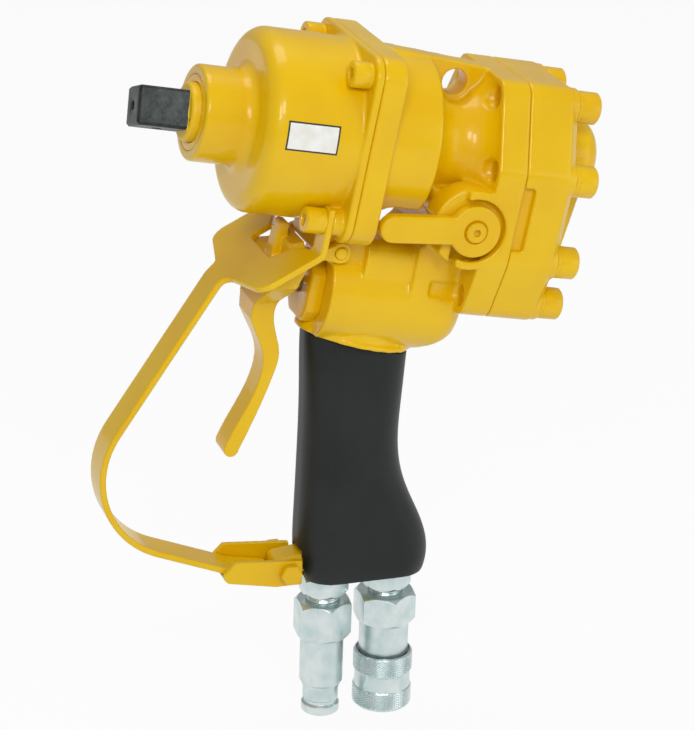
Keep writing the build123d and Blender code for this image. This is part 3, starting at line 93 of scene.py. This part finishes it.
def linear(hex_colour):
    """A colour written as an sRGB hex value, as linear RGBA."""
    channels = [int(hex_colour[i:i + 2], 16) / 255 for i in (1, 3, 5)]
    return tuple(c / 12.92 if c <= 0.04045 else ((c + 0.055) / 1.055) ** 2.4 for c in channels) + (1.0,)


def add_node(tree, kind, settings=None, links=None):
    """Adds a node with its settings, and links {input: (node, output)} into it."""
    node = tree.nodes.new(kind)
    for name, value in (settings or {}).items():
        if name in node.inputs.keys() or isinstance(name, int):
            node.inputs[name].default_value = value
        else:
            setattr(node, name, value)
    for name, (source, output) in (links or {}).items():
        tree.links.new(source.outputs[output], node.inputs[name])
    return node


def new_material(name, colour, **sockets):
    """A material with its shader, whose plain values are set on the shader's own sockets."""
    material = bpy.data.materials.new(name)
    material.use_nodes = True
    shader = material.node_tree.nodes["Principled BSDF"]
    shader.inputs["Base Color"].default_value = linear(colour)
    for socket, value in sockets.items():
        shader.inputs[socket.replace("_", " ")].default_value = value
    return material, material.node_tree, shader


def size_scale(millimetres):
    """The noise scale whose patches are about so many millimetres across."""
    return 1 / (millimetres * MM)


def two_tone(tree, factor, low, high, start=0.35, end=0.65):
    """A ramp between two colours, driven by a node's value."""
    ramp = add_node(tree, "ShaderNodeValToRGB", {}, {"Fac": factor})
    ramp.color_ramp.elements[0].position = start
    ramp.color_ramp.elements[0].color = linear(low)
    ramp.color_ramp.elements[1].position = end
    ramp.color_ramp.elements[1].color = linear(high)
    return ramp


def gloss_enamel(name, waviness):
    """Gloss yellow enamel, sprayed: wet-looking, wavy from the metal under it, with a fine peel on top."""
    material, tree, shader = new_material(name, ENAMEL, Roughness=0.3, IOR=1.5, Specular_IOR_Level=0.25,
                                          Coat_Weight=0.3, Coat_Roughness=0.04)
    place = add_node(tree, "ShaderNodeTexCoord")
    # thickness of the paint varies over some centimetres and shifts its tone a little
    pool = add_node(tree, "ShaderNodeTexNoise", {"Scale": size_scale(45), "Detail": 2.0},
                    {"Vector": (place, "Object")})
    tone = two_tone(tree, (pool, "Fac"), ENAMEL_THIN, ENAMEL)
    tree.links.new(tone.outputs["Color"], shader.inputs["Base Color"])
    wave = add_node(tree, "ShaderNodeTexNoise", {"Scale": size_scale(9), "Detail": 3.0},
                    {"Vector": (place, "Object")})
    peel = add_node(tree, "ShaderNodeTexNoise", {"Scale": size_scale(1.4), "Detail": 1.0},
                    {"Vector": (place, "Object")})
    broad = add_node(tree, "ShaderNodeBump", {"Strength": waviness, "Distance": 0.6 * MM},
                     {"Height": (wave, "Fac")})
    fine = add_node(tree, "ShaderNodeBump", {"Strength": 0.05, "Distance": 0.1 * MM},
                    {"Height": (peel, "Fac"), "Normal": (broad, "Normal")})
    tree.links.new(fine.outputs["Normal"], shader.inputs["Normal"])
    return material


def black_oxide():
    """Black oxide on forged and machined steel: nearly black, rubbed to grey in patches, dull oily sheen."""
    material, tree, shader = new_material("black_oxide_steel", "#2C302F", Metallic=0.6, Roughness=0.42)
    place = add_node(tree, "ShaderNodeTexCoord")
    rub = add_node(tree, "ShaderNodeTexNoise", {"Scale": size_scale(6), "Detail": 6.0, "Roughness": 0.7},
                   {"Vector": (place, "Object")})
    worn = two_tone(tree, (rub, "Fac"), "#262A29", "#474D4B", 0.42, 0.75)
    # the drive axis is read from the place, to end the paint on the round shoulder with an uneven edge
    back = add_node(tree, "ShaderNodeVectorMath", {"operation": "DOT_PRODUCT", 1: tuple(BACKWARDS)},
                    {0: (place, "Object")})
    ragged = add_node(tree, "ShaderNodeTexNoise", {"Scale": size_scale(7), "Detail": 2.0},
                      {"Vector": (place, "Object")})
    edge = add_node(tree, "ShaderNodeMath", {"operation": "MULTIPLY_ADD", 1: 1.6 * MM,
                                             2: -NOSE.dot(BACKWARDS) + (SHOULDER - 0.5) * MM},
                    {0: (ragged, "Fac")})
    reach = add_node(tree, "ShaderNodeMath", {"operation": "ADD"}, {0: (back, "Value"), 1: (edge, 0)})
    painted = add_node(tree, "ShaderNodeMath", {"operation": "GREATER_THAN", 1: 0.0}, {0: (reach, 0)})
    colour = add_node(tree, "ShaderNodeMix", {"data_type": "RGBA"}, {"Factor": (painted, 0)})
    tree.links.new(worn.outputs["Color"], colour.inputs[6])
    colour.inputs[7].default_value = linear(ENAMEL)
    tree.links.new(colour.outputs[2], shader.inputs["Base Color"])
    bare = add_node(tree, "ShaderNodeMath", {"operation": "MULTIPLY_ADD", 1: -0.6, 2: 0.6}, {0: (painted, 0)})
    tree.links.new(bare.outputs[0], shader.inputs["Metallic"])
    bump = add_node(tree, "ShaderNodeBump", {"Strength": 0.2, "Distance": 0.15 * MM},
                    {"Height": (rub, "Fac")})
    tree.links.new(bump.outputs["Normal"], shader.inputs["Normal"])
    return material


def zinc_plate():
    """Bright zinc plate over turned steel: bluish silver, soft reflections, faint turning marks."""
    material, tree, shader = new_material("bright_zinc_plate", "#C6D3D2", Metallic=0.85, Roughness=0.3)
    place = add_node(tree, "ShaderNodeTexCoord")
    # turning marks run round the fittings, so the pattern is squeezed along their upright axis
    squeeze = add_node(tree, "ShaderNodeMapping", {"Scale": (1, 1, 30)}, {"Vector": (place, "Object")})
    marks = add_node(tree, "ShaderNodeTexNoise", {"Scale": size_scale(12), "Detail": 4.0},
                     {"Vector": (squeeze, "Vector")})
    cloud = add_node(tree, "ShaderNodeTexNoise", {"Scale": size_scale(9), "Detail": 3.0},
                     {"Vector": (place, "Object")})
    tone = two_tone(tree, (cloud, "Fac"), "#C3D6D6", "#DDE6E5")
    tree.links.new(tone.outputs["Color"], shader.inputs["Base Color"])
    bump = add_node(tree, "ShaderNodeBump", {"Strength": 0.08, "Distance": 0.05 * MM},
                    {"Height": (marks, "Fac")})
    tree.links.new(bump.outputs["Normal"], shader.inputs["Normal"])
    return material


def moulded_rubber(name, colour, light):
    """Moulded rubber: charcoal, satin, with the fine matt grain of its mould."""
    material, tree, shader = new_material(name, colour, Roughness=0.48, Specular_IOR_Level=0.32,
                                          Coat_Weight=0.05, Coat_Roughness=0.25)
    place = add_node(tree, "ShaderNodeTexCoord")
    grain = add_node(tree, "ShaderNodeTexNoise", {"Scale": size_scale(0.8), "Detail": 2.0},
                     {"Vector": (place, "Object")})
    cloud = add_node(tree, "ShaderNodeTexNoise", {"Scale": size_scale(30), "Detail": 2.0},
                     {"Vector": (place, "Object")})
    tone = two_tone(tree, (cloud, "Fac"), colour, light)
    tree.links.new(tone.outputs["Color"], shader.inputs["Base Color"])
    bump = add_node(tree, "ShaderNodeBump", {"Strength": 0.15, "Distance": 0.08 * MM},
                    {"Height": (grain, "Fac")})
    tree.links.new(bump.outputs["Normal"], shader.inputs["Normal"])
    return material


def ground_metal(name, colour, dark):
    """Ground metal of the inner pieces: even, with fine grinding marks."""
    material, tree, shader = new_material(name, colour, Metallic=1.0, Roughness=0.3)
    place = add_node(tree, "ShaderNodeTexCoord")
    marks = add_node(tree, "ShaderNodeTexNoise", {"Scale": size_scale(3), "Detail": 4.0},
                     {"Vector": (place, "Object")})
    tone = two_tone(tree, (marks, "Fac"), dark, colour)
    tree.links.new(tone.outputs["Color"], shader.inputs["Base Color"])
    return material


ENAMEL = "#EBBF00"
ENAMEL_THIN = "#E5B400"
SHOULDER = 4.2              # mm of painted round shoulder in front of the nose rim
CASTING = gloss_enamel("gloss_enamel_on_casting", 0.3)
SHEET = gloss_enamel("gloss_enamel_on_steel", 0.05)
ZINC = zinc_plate()
FINISHES = {"cast_enamel": CASTING, "yellow_paint": SHEET, "black_oxide": black_oxide(), "zinc": ZINC,
            "grip_rubber": moulded_rubber("moulded_grip_rubber", "#121616", "#191E1E"),
            "steel": ground_metal("ground_steel", "#A9ABAC", "#8F9293"),
            "bronze": SHEET,
            "seal_rubber": moulded_rubber("nitrile_rubber", "#151616", "#1E1F1F"),
            "spring_steel": ground_metal("oiled_spring_wire", "#7C7F80", "#606364")}
slot_of = {row["node"]: row["material_slot"] for row in frame["record"]["subparts"]}
body_of = {node: body for body, members in frame["record"]["behaviour"]["bodies"].items() for node in members}
for node, slot in slot_of.items():
    mesh = nodes[node].data
    mesh.materials.clear()
    mesh.materials.append(FINISHES[slot])


# Pieces

def only(piece):
    """Selects one piece and makes it active."""
    bpy.ops.object.select_all(action="DESELECT")
    piece.select_set(True)
    bpy.context.view_layer.objects.active = piece


def apply_modifier(piece, kind, **settings):
    """Adds a modifier with its settings and applies it."""
    only(piece)
    modifier = piece.modifiers.new(kind.lower(), kind)
    for name, value in settings.items():
        setattr(modifier, name, value)
    bpy.ops.object.modifier_apply(modifier=modifier.name)


def copy_of(node, name):
    """A copy of a CAD node as a piece of its own, its loose triangles merged."""
    piece = bpy.data.objects.new(name, nodes[node].data.copy())
    bpy.context.scene.collection.objects.link(piece)
    only(piece)
    bpy.ops.object.mode_set(mode="EDIT")
    bpy.ops.mesh.select_all(action="SELECT")
    bpy.ops.mesh.remove_doubles(threshold=0.002 * MM)
    bpy.ops.object.mode_set(mode="OBJECT")
    return piece


def settle(piece):
    """Moves a piece's place, turn and scale into its mesh."""
    only(piece)
    bpy.ops.object.transform_apply(location=True, rotation=True, scale=True)


def stands_for(piece, node):
    """Gives a piece a CAD node's finish and body, and hides the node."""
    piece.data.materials.clear()
    piece.data.materials.append(FINISHES[slot_of[node]])
    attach(piece, body_of[node])
    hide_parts(node)


def join(piece, extras):
    """Joins further shapes to a piece."""
    for extra in extras:
        settle(extra)
    only(piece)
    for extra in extras:
        extra.select_set(True)
    bpy.ops.object.join()


def cast(node, voxel, rounds, share, extras=(), raked=False):
    """A soft-edged copy of a casting or painted piece: paint and casting round every edge and fill corners.

    A raked piece is laid level while it is remeshed, so that its flat faces lie along the grid."""
    piece = copy_of(node, node + "_skin")
    if extras:
        join(piece, extras)
    level = Matrix.Rotation(-RAKE if raked else 0, 4, "Y")
    piece.data.transform(level)
    apply_modifier(piece, "REMESH", mode="VOXEL", voxel_size=voxel * MM, use_smooth_shade=True)
    apply_modifier(piece, "SMOOTH", factor=0.5, iterations=rounds)
    apply_modifier(piece, "DECIMATE", ratio=share)
    piece.data.transform(level.inverted())
    stands_for(piece, node)
    return piece


def machined(node, edge):
    """A copy of a machined piece whose sharp edges are broken by so many millimetres."""
    piece = copy_of(node, node + "_finished")
    apply_modifier(piece, "BEVEL", width=edge * MM, segments=2, limit_method="ANGLE",
                   angle_limit=math.radians(32), use_clamp_overlap=True)
    only(piece)
    bpy.ops.object.shade_smooth_by_angle(angle=math.radians(34))
    stands_for(piece, node)
    return piece


def spring(node):
    """A coil spring: a smooth-shaded copy of its CAD node that rides with the node's body, on a mesh of its
    own.
    """
    piece = copy_of(node, node + "_wound")
    only(piece)
    bpy.ops.object.shade_smooth_by_angle(angle=math.radians(40))
    stands_for(piece, node)
    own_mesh(piece)


def cone_along(s, t, y, near, far, depth):
    """A cone frustum along the drive axis, from a station backwards."""
    bpy.ops.object.select_all(action="DESELECT")
    bpy.ops.mesh.primitive_cone_add(vertices=64, radius1=near * MM, radius2=far * MM, depth=depth * MM,
                                    location=at(s + depth / 2, t, y),
                                    rotation=BACKWARDS.to_track_quat("Z", "Y").to_euler())
    return bpy.context.object


# the cap's dome runs down over the second gear and gets lower there
dome_run = [cone_along(CAP_BACK - DOME_SINK, -drop, 0, DOME_RADIUS, DOME_RADIUS - DOME_TAPER,
                       DOME_LENGTH - DOME_FALL * drop)
            for drop in DOME_DROPS]
cast("rear_cap", 0.7, 6, 0.42, dome_run, raked=True)
cast("main_housing", 0.85, 6, 0.42, raked=True)
cast("hammer_case", 0.75, 5, 0.4, raked=True)
cast("trigger", 0.5, 6, 0.4)
cast("trigger_guard", 0.6, 3, 0.4)
cast("guard_bracket", 0.4, 4, 0.5)
cast("reversing_lever", 0.4, 4, 0.4)
cast("grip_sleeve", 0.8, 3, 0.5)
for node, edge in {"anvil": 0.5, "valve_plug": 0.5, "case_bolts": 0.35, "cap_bolts": 0.45, "guard_bolt": 0.3,
                   "guard_nut": 0.3, "lever_screw": 0.25, "trigger_pin": 0.3, "reversing_plug": 0.4,
                   "case_lock_washers": 0.2, "cap_lock_washers": 0.2, "nipple_body": 0.3, "coupler_body": 0.3,
                   "hose_adapters": 0.3, "coupler_sleeve": 0.25, "drive_bushing": 0.3}.items():
    machined(node, edge)


spring("spool_spring")
spring("coupler_sleeve_spring")
spring("coupler_valve_spring")
spring("nipple_spring")


def knurl(name, low, high):
    """A band of diamond knurling round the coupling's sleeve: small raised diamonds in crossed rows."""
    rows = 2 * round((high - low) / KNURL_PITCH)
    bpy.ops.object.select_all(action="DESELECT")
    bpy.ops.mesh.primitive_cylinder_add(vertices=KNURL_AROUND, radius=(SLEEVE_RADIUS + 0.02) * MM,
                                        depth=(high - low) * MM, end_fill_type="NOTHING",
                                        location=(0, 0, (low + high) / 2 * MM))
    band = bpy.context.object
    band.name = name
    bpy.ops.object.mode_set(mode="EDIT")
    bpy.ops.mesh.select_all(action="DESELECT")
    bpy.ops.object.mode_set(mode="OBJECT")
    for edge in band.data.edges:
        a, b = (band.data.vertices[v].co for v in edge.vertices)
        edge.select = abs(a.z - b.z) > MM
    bpy.ops.object.mode_set(mode="EDIT")
    bpy.ops.mesh.subdivide(number_cuts=rows - 1)
    bpy.ops.mesh.select_all(action="DESELECT")
    bpy.ops.object.mode_set(mode="OBJECT")
    settle(band)
    for vertex in band.data.vertices:
        step = round(math.atan2(vertex.co.y, vertex.co.x) / (2 * math.pi / KNURL_AROUND))
        row = round((vertex.co.z - low * MM) / ((high - low) * MM / rows))
        raised = (step + row) % 2 == 0 and 0 < row < rows
        swell = 1 + KNURL_HEIGHT / SLEEVE_RADIUS if raised else 1
        vertex.co.x *= swell
        vertex.co.y *= swell
    apply_modifier(band, "TRIANGULATE", quad_method="FIXED")
    apply_modifier(band, "SOLIDIFY", thickness=0.3 * MM, offset=-1)
    band.data.materials.append(ZINC)
    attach(band, "release_sleeve")
    return band


def thread(name, x, low, turns):
    """The ridge of a pipe thread where it shows between a hexagon and the fitting below."""
    bpy.ops.object.select_all(action="DESELECT")
    bpy.ops.mesh.primitive_circle_add(vertices=3, radius=THREAD_RIDGE * MM, fill_type="NGON",
                                      location=(THREAD_RADIUS * MM, 0, low * MM),
                                      rotation=(math.pi / 2, 0, 0))
    ridge = bpy.context.object
    ridge.name = name
    settle(ridge)
    apply_modifier(ridge, "SCREW", axis="Z", screw_offset=THREAD_PITCH * MM, iterations=turns, steps=48,
                   render_steps=48, use_normal_calculate=True)
    for vertex in ridge.data.vertices:
        vertex.co.x += x * MM
    only(ridge)
    bpy.ops.object.mode_set(mode="EDIT")
    bpy.ops.mesh.select_all(action="SELECT")
    bpy.ops.mesh.normals_make_consistent(inside=False)
    bpy.ops.object.mode_set(mode="OBJECT")
    ridge.data.materials.append(ZINC)
    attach(ridge, "housing")
    return ridge


for name, (low, high) in KNURL_BANDS.items():
    knurl(name, low, high)
for name, x in ADAPTER_THREADS.items():
    thread(name, x, THREAD_LOW, THREAD_TURNS)


def blank_film():
    """Printed vinyl film, left blank: off-white, satin, a little yellowed in patches."""
    material, tree, shader = new_material("white_vinyl_film", "#EFEFEA", Roughness=0.35, Coat_Weight=0.3)
    place = add_node(tree, "ShaderNodeTexCoord")
    age = add_node(tree, "ShaderNodeTexNoise", {"Scale": size_scale(6), "Detail": 3.0},
                   {"Vector": (place, "Object")})
    tone = two_tone(tree, (age, "Fac"), "#E7E5DA", "#F2F2EF")
    tree.links.new(tone.outputs["Color"], shader.inputs["Base Color"])
    return material


def edge_print():
    """The black print round the film's edge: ink under a satin laminate."""
    material, tree, shader = new_material("black_edge_print", "#191A1A", Roughness=0.4, Coat_Weight=0.3)
    place = add_node(tree, "ShaderNodeTexCoord")
    ink = add_node(tree, "ShaderNodeTexNoise", {"Scale": size_scale(1), "Detail": 2.0},
                   {"Vector": (place, "Object")})
    tone = two_tone(tree, (ink, "Fac"), "#151616", "#222323")
    tree.links.new(tone.outputs["Color"], shader.inputs["Base Color"])
    return material


def blank_plate():
    """The plate on the case, left blank: white film with a thin black edge, curved with the case."""
    bpy.ops.object.select_all(action="DESELECT")
    bpy.ops.mesh.primitive_grid_add(x_subdivisions=30, y_subdivisions=16, size=2)
    plate = bpy.context.object
    plate.name = "blank_plate"
    plate.scale = (PLATE_LENGTH / 2 * MM, PLATE_HEIGHT / 2 * MM, 1)
    settle(plate)
    bpy.ops.object.mode_set(mode="EDIT")
    bpy.ops.mesh.select_all(action="SELECT")
    bpy.ops.mesh.inset(thickness=PLATE_EDGE * MM)
    bpy.ops.object.mode_set(mode="OBJECT")
    plate.data.materials.append(blank_film())
    plate.data.materials.append(edge_print())
    for face in plate.data.polygons:
        inside = (abs(face.center.x) < (PLATE_LENGTH / 2 - PLATE_EDGE) * MM
                  and abs(face.center.y) < (PLATE_HEIGHT / 2 - PLATE_EDGE) * MM)
        face.material_index = 0 if inside else 1
    for vertex in plate.data.vertices:
        turn = math.radians(PLATE_TURN) - vertex.co.y / MM / PLATE_RADIUS
        vertex.co = at(PLATE_STATION + vertex.co.x / MM, PLATE_RADIUS * math.cos(turn),
                       -PLATE_RADIUS * math.sin(turn))
    if plate.data.polygons[0].normal.y > 0:
        plate.data.flip_normals()
    apply_modifier(plate, "SOLIDIFY", thickness=0.15 * MM, offset=-1)
    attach(plate, "housing")


blank_plate()


# Stage, light and camera

PAPER_GLOW = 0.92           # share of plain white that the camera sees in the floor; the rest keeps the shadow

bpy.ops.mesh.primitive_plane_add(size=8, location=(0, 0, 0))
floor = bpy.context.object
floor.name = "studio_floor"
paper, tree, shader = new_material("studio_paper", "#F2F2F0", Roughness=0.9)
path = add_node(tree, "ShaderNodeLightPath")
seen = add_node(tree, "ShaderNodeMath", {"operation": "MAXIMUM"},
                {0: (path, "Is Camera Ray"), 1: (path, "Is Glossy Ray")})
share = add_node(tree, "ShaderNodeMath", {"operation": "MULTIPLY", 1: PAPER_GLOW}, {0: (seen, 0)})
white = add_node(tree, "ShaderNodeEmission", {"Color": (1, 1, 1, 1), "Strength": 1.0})
mix = add_node(tree, "ShaderNodeMixShader", {}, {0: (share, 0), 1: (shader, 0), 2: (white, 0)})
output = next(n for n in tree.nodes if n.type == "OUTPUT_MATERIAL")
tree.links.new(mix.outputs[0], output.inputs["Surface"])
floor.data.materials.append(paper)

world = bpy.context.scene.world or bpy.data.worlds.new("studio")
bpy.context.scene.world = world
world.use_nodes = True
tree = world.node_tree
sky = tree.nodes["Background"]
sky.inputs["Color"].default_value = linear("#E4E7EA")
sky.inputs["Strength"].default_value = 0.5
path = add_node(tree, "ShaderNodeLightPath")
white = add_node(tree, "ShaderNodeBackground", {"Color": (1, 1, 1, 1), "Strength": 1.0})
mix = add_node(tree, "ShaderNodeMixShader", {}, {0: (path, "Is Camera Ray"), 1: (sky, 0), 2: (white, 0)})
output = next(n for n in tree.nodes if n.type == "OUTPUT_WORLD")
tree.links.new(mix.outputs[0], output.inputs["Surface"])


def softbox(name, place, target, size, power):
    """A rectangular area lamp aimed at a point."""
    lamp = bpy.data.lights.new(name, "AREA")
    lamp.shape, lamp.size, lamp.size_y, lamp.energy = "RECTANGLE", size[0], size[1], power
    holder = bpy.data.objects.new(name, lamp)
    holder.location = place
    holder.rotation_euler = (Vector(target) - Vector(place)).to_track_quat("-Z", "Y").to_euler()
    bpy.context.scene.collection.objects.link(holder)
    return holder


MIDDLE = (-0.02, 0, 0.2)
softbox("key_softbox_left", (-0.62, -1.15, 1.0), MIDDLE, (0.3, 0.4), 4.5)
softbox("key_softbox_right", (-0.12, -1.25, 1.1), MIDDLE, (0.3, 0.4), 4.9)
softbox("fill_softbox", (1.1, -1.0, 0.5), MIDDLE, (0.9, 0.9), 3)
softbox("top_softbox", (0.0, 0.3, 1.5), MIDDLE, (1.0, 0.6), 5.5)

# Camera, from the fit of the photograph
TURN, LIFT, ROLL = math.radians(19.11), math.radians(21.5), math.radians(1.79)
DISTANCE = 1.4552
TARGET = Vector((-0.0248, 0, 0.1925))
FOCAL_PIXELS = 2900.1
LONG_SIDE = 730
back = Vector((-math.sin(TURN) * math.cos(LIFT), -math.cos(TURN) * math.cos(LIFT), math.sin(LIFT)))
level = Vector((math.cos(TURN), -math.sin(TURN), 0))
rise = back.cross(level)
right = level * math.cos(ROLL) + rise * math.sin(ROLL)
up = rise * math.cos(ROLL) - level * math.sin(ROLL)
camera = bpy.data.objects.new("camera", bpy.data.cameras.new("camera"))
camera.data.sensor_width = 36
camera.data.lens = FOCAL_PIXELS / LONG_SIDE * 36
camera.matrix_world = Matrix((right, up, back)).transposed().to_4x4()
camera.location = TARGET + back * DISTANCE
bpy.context.scene.collection.objects.link(camera)
bpy.context.scene.camera = camera
bpy.context.scene.view_settings.view_transform = "Standard"
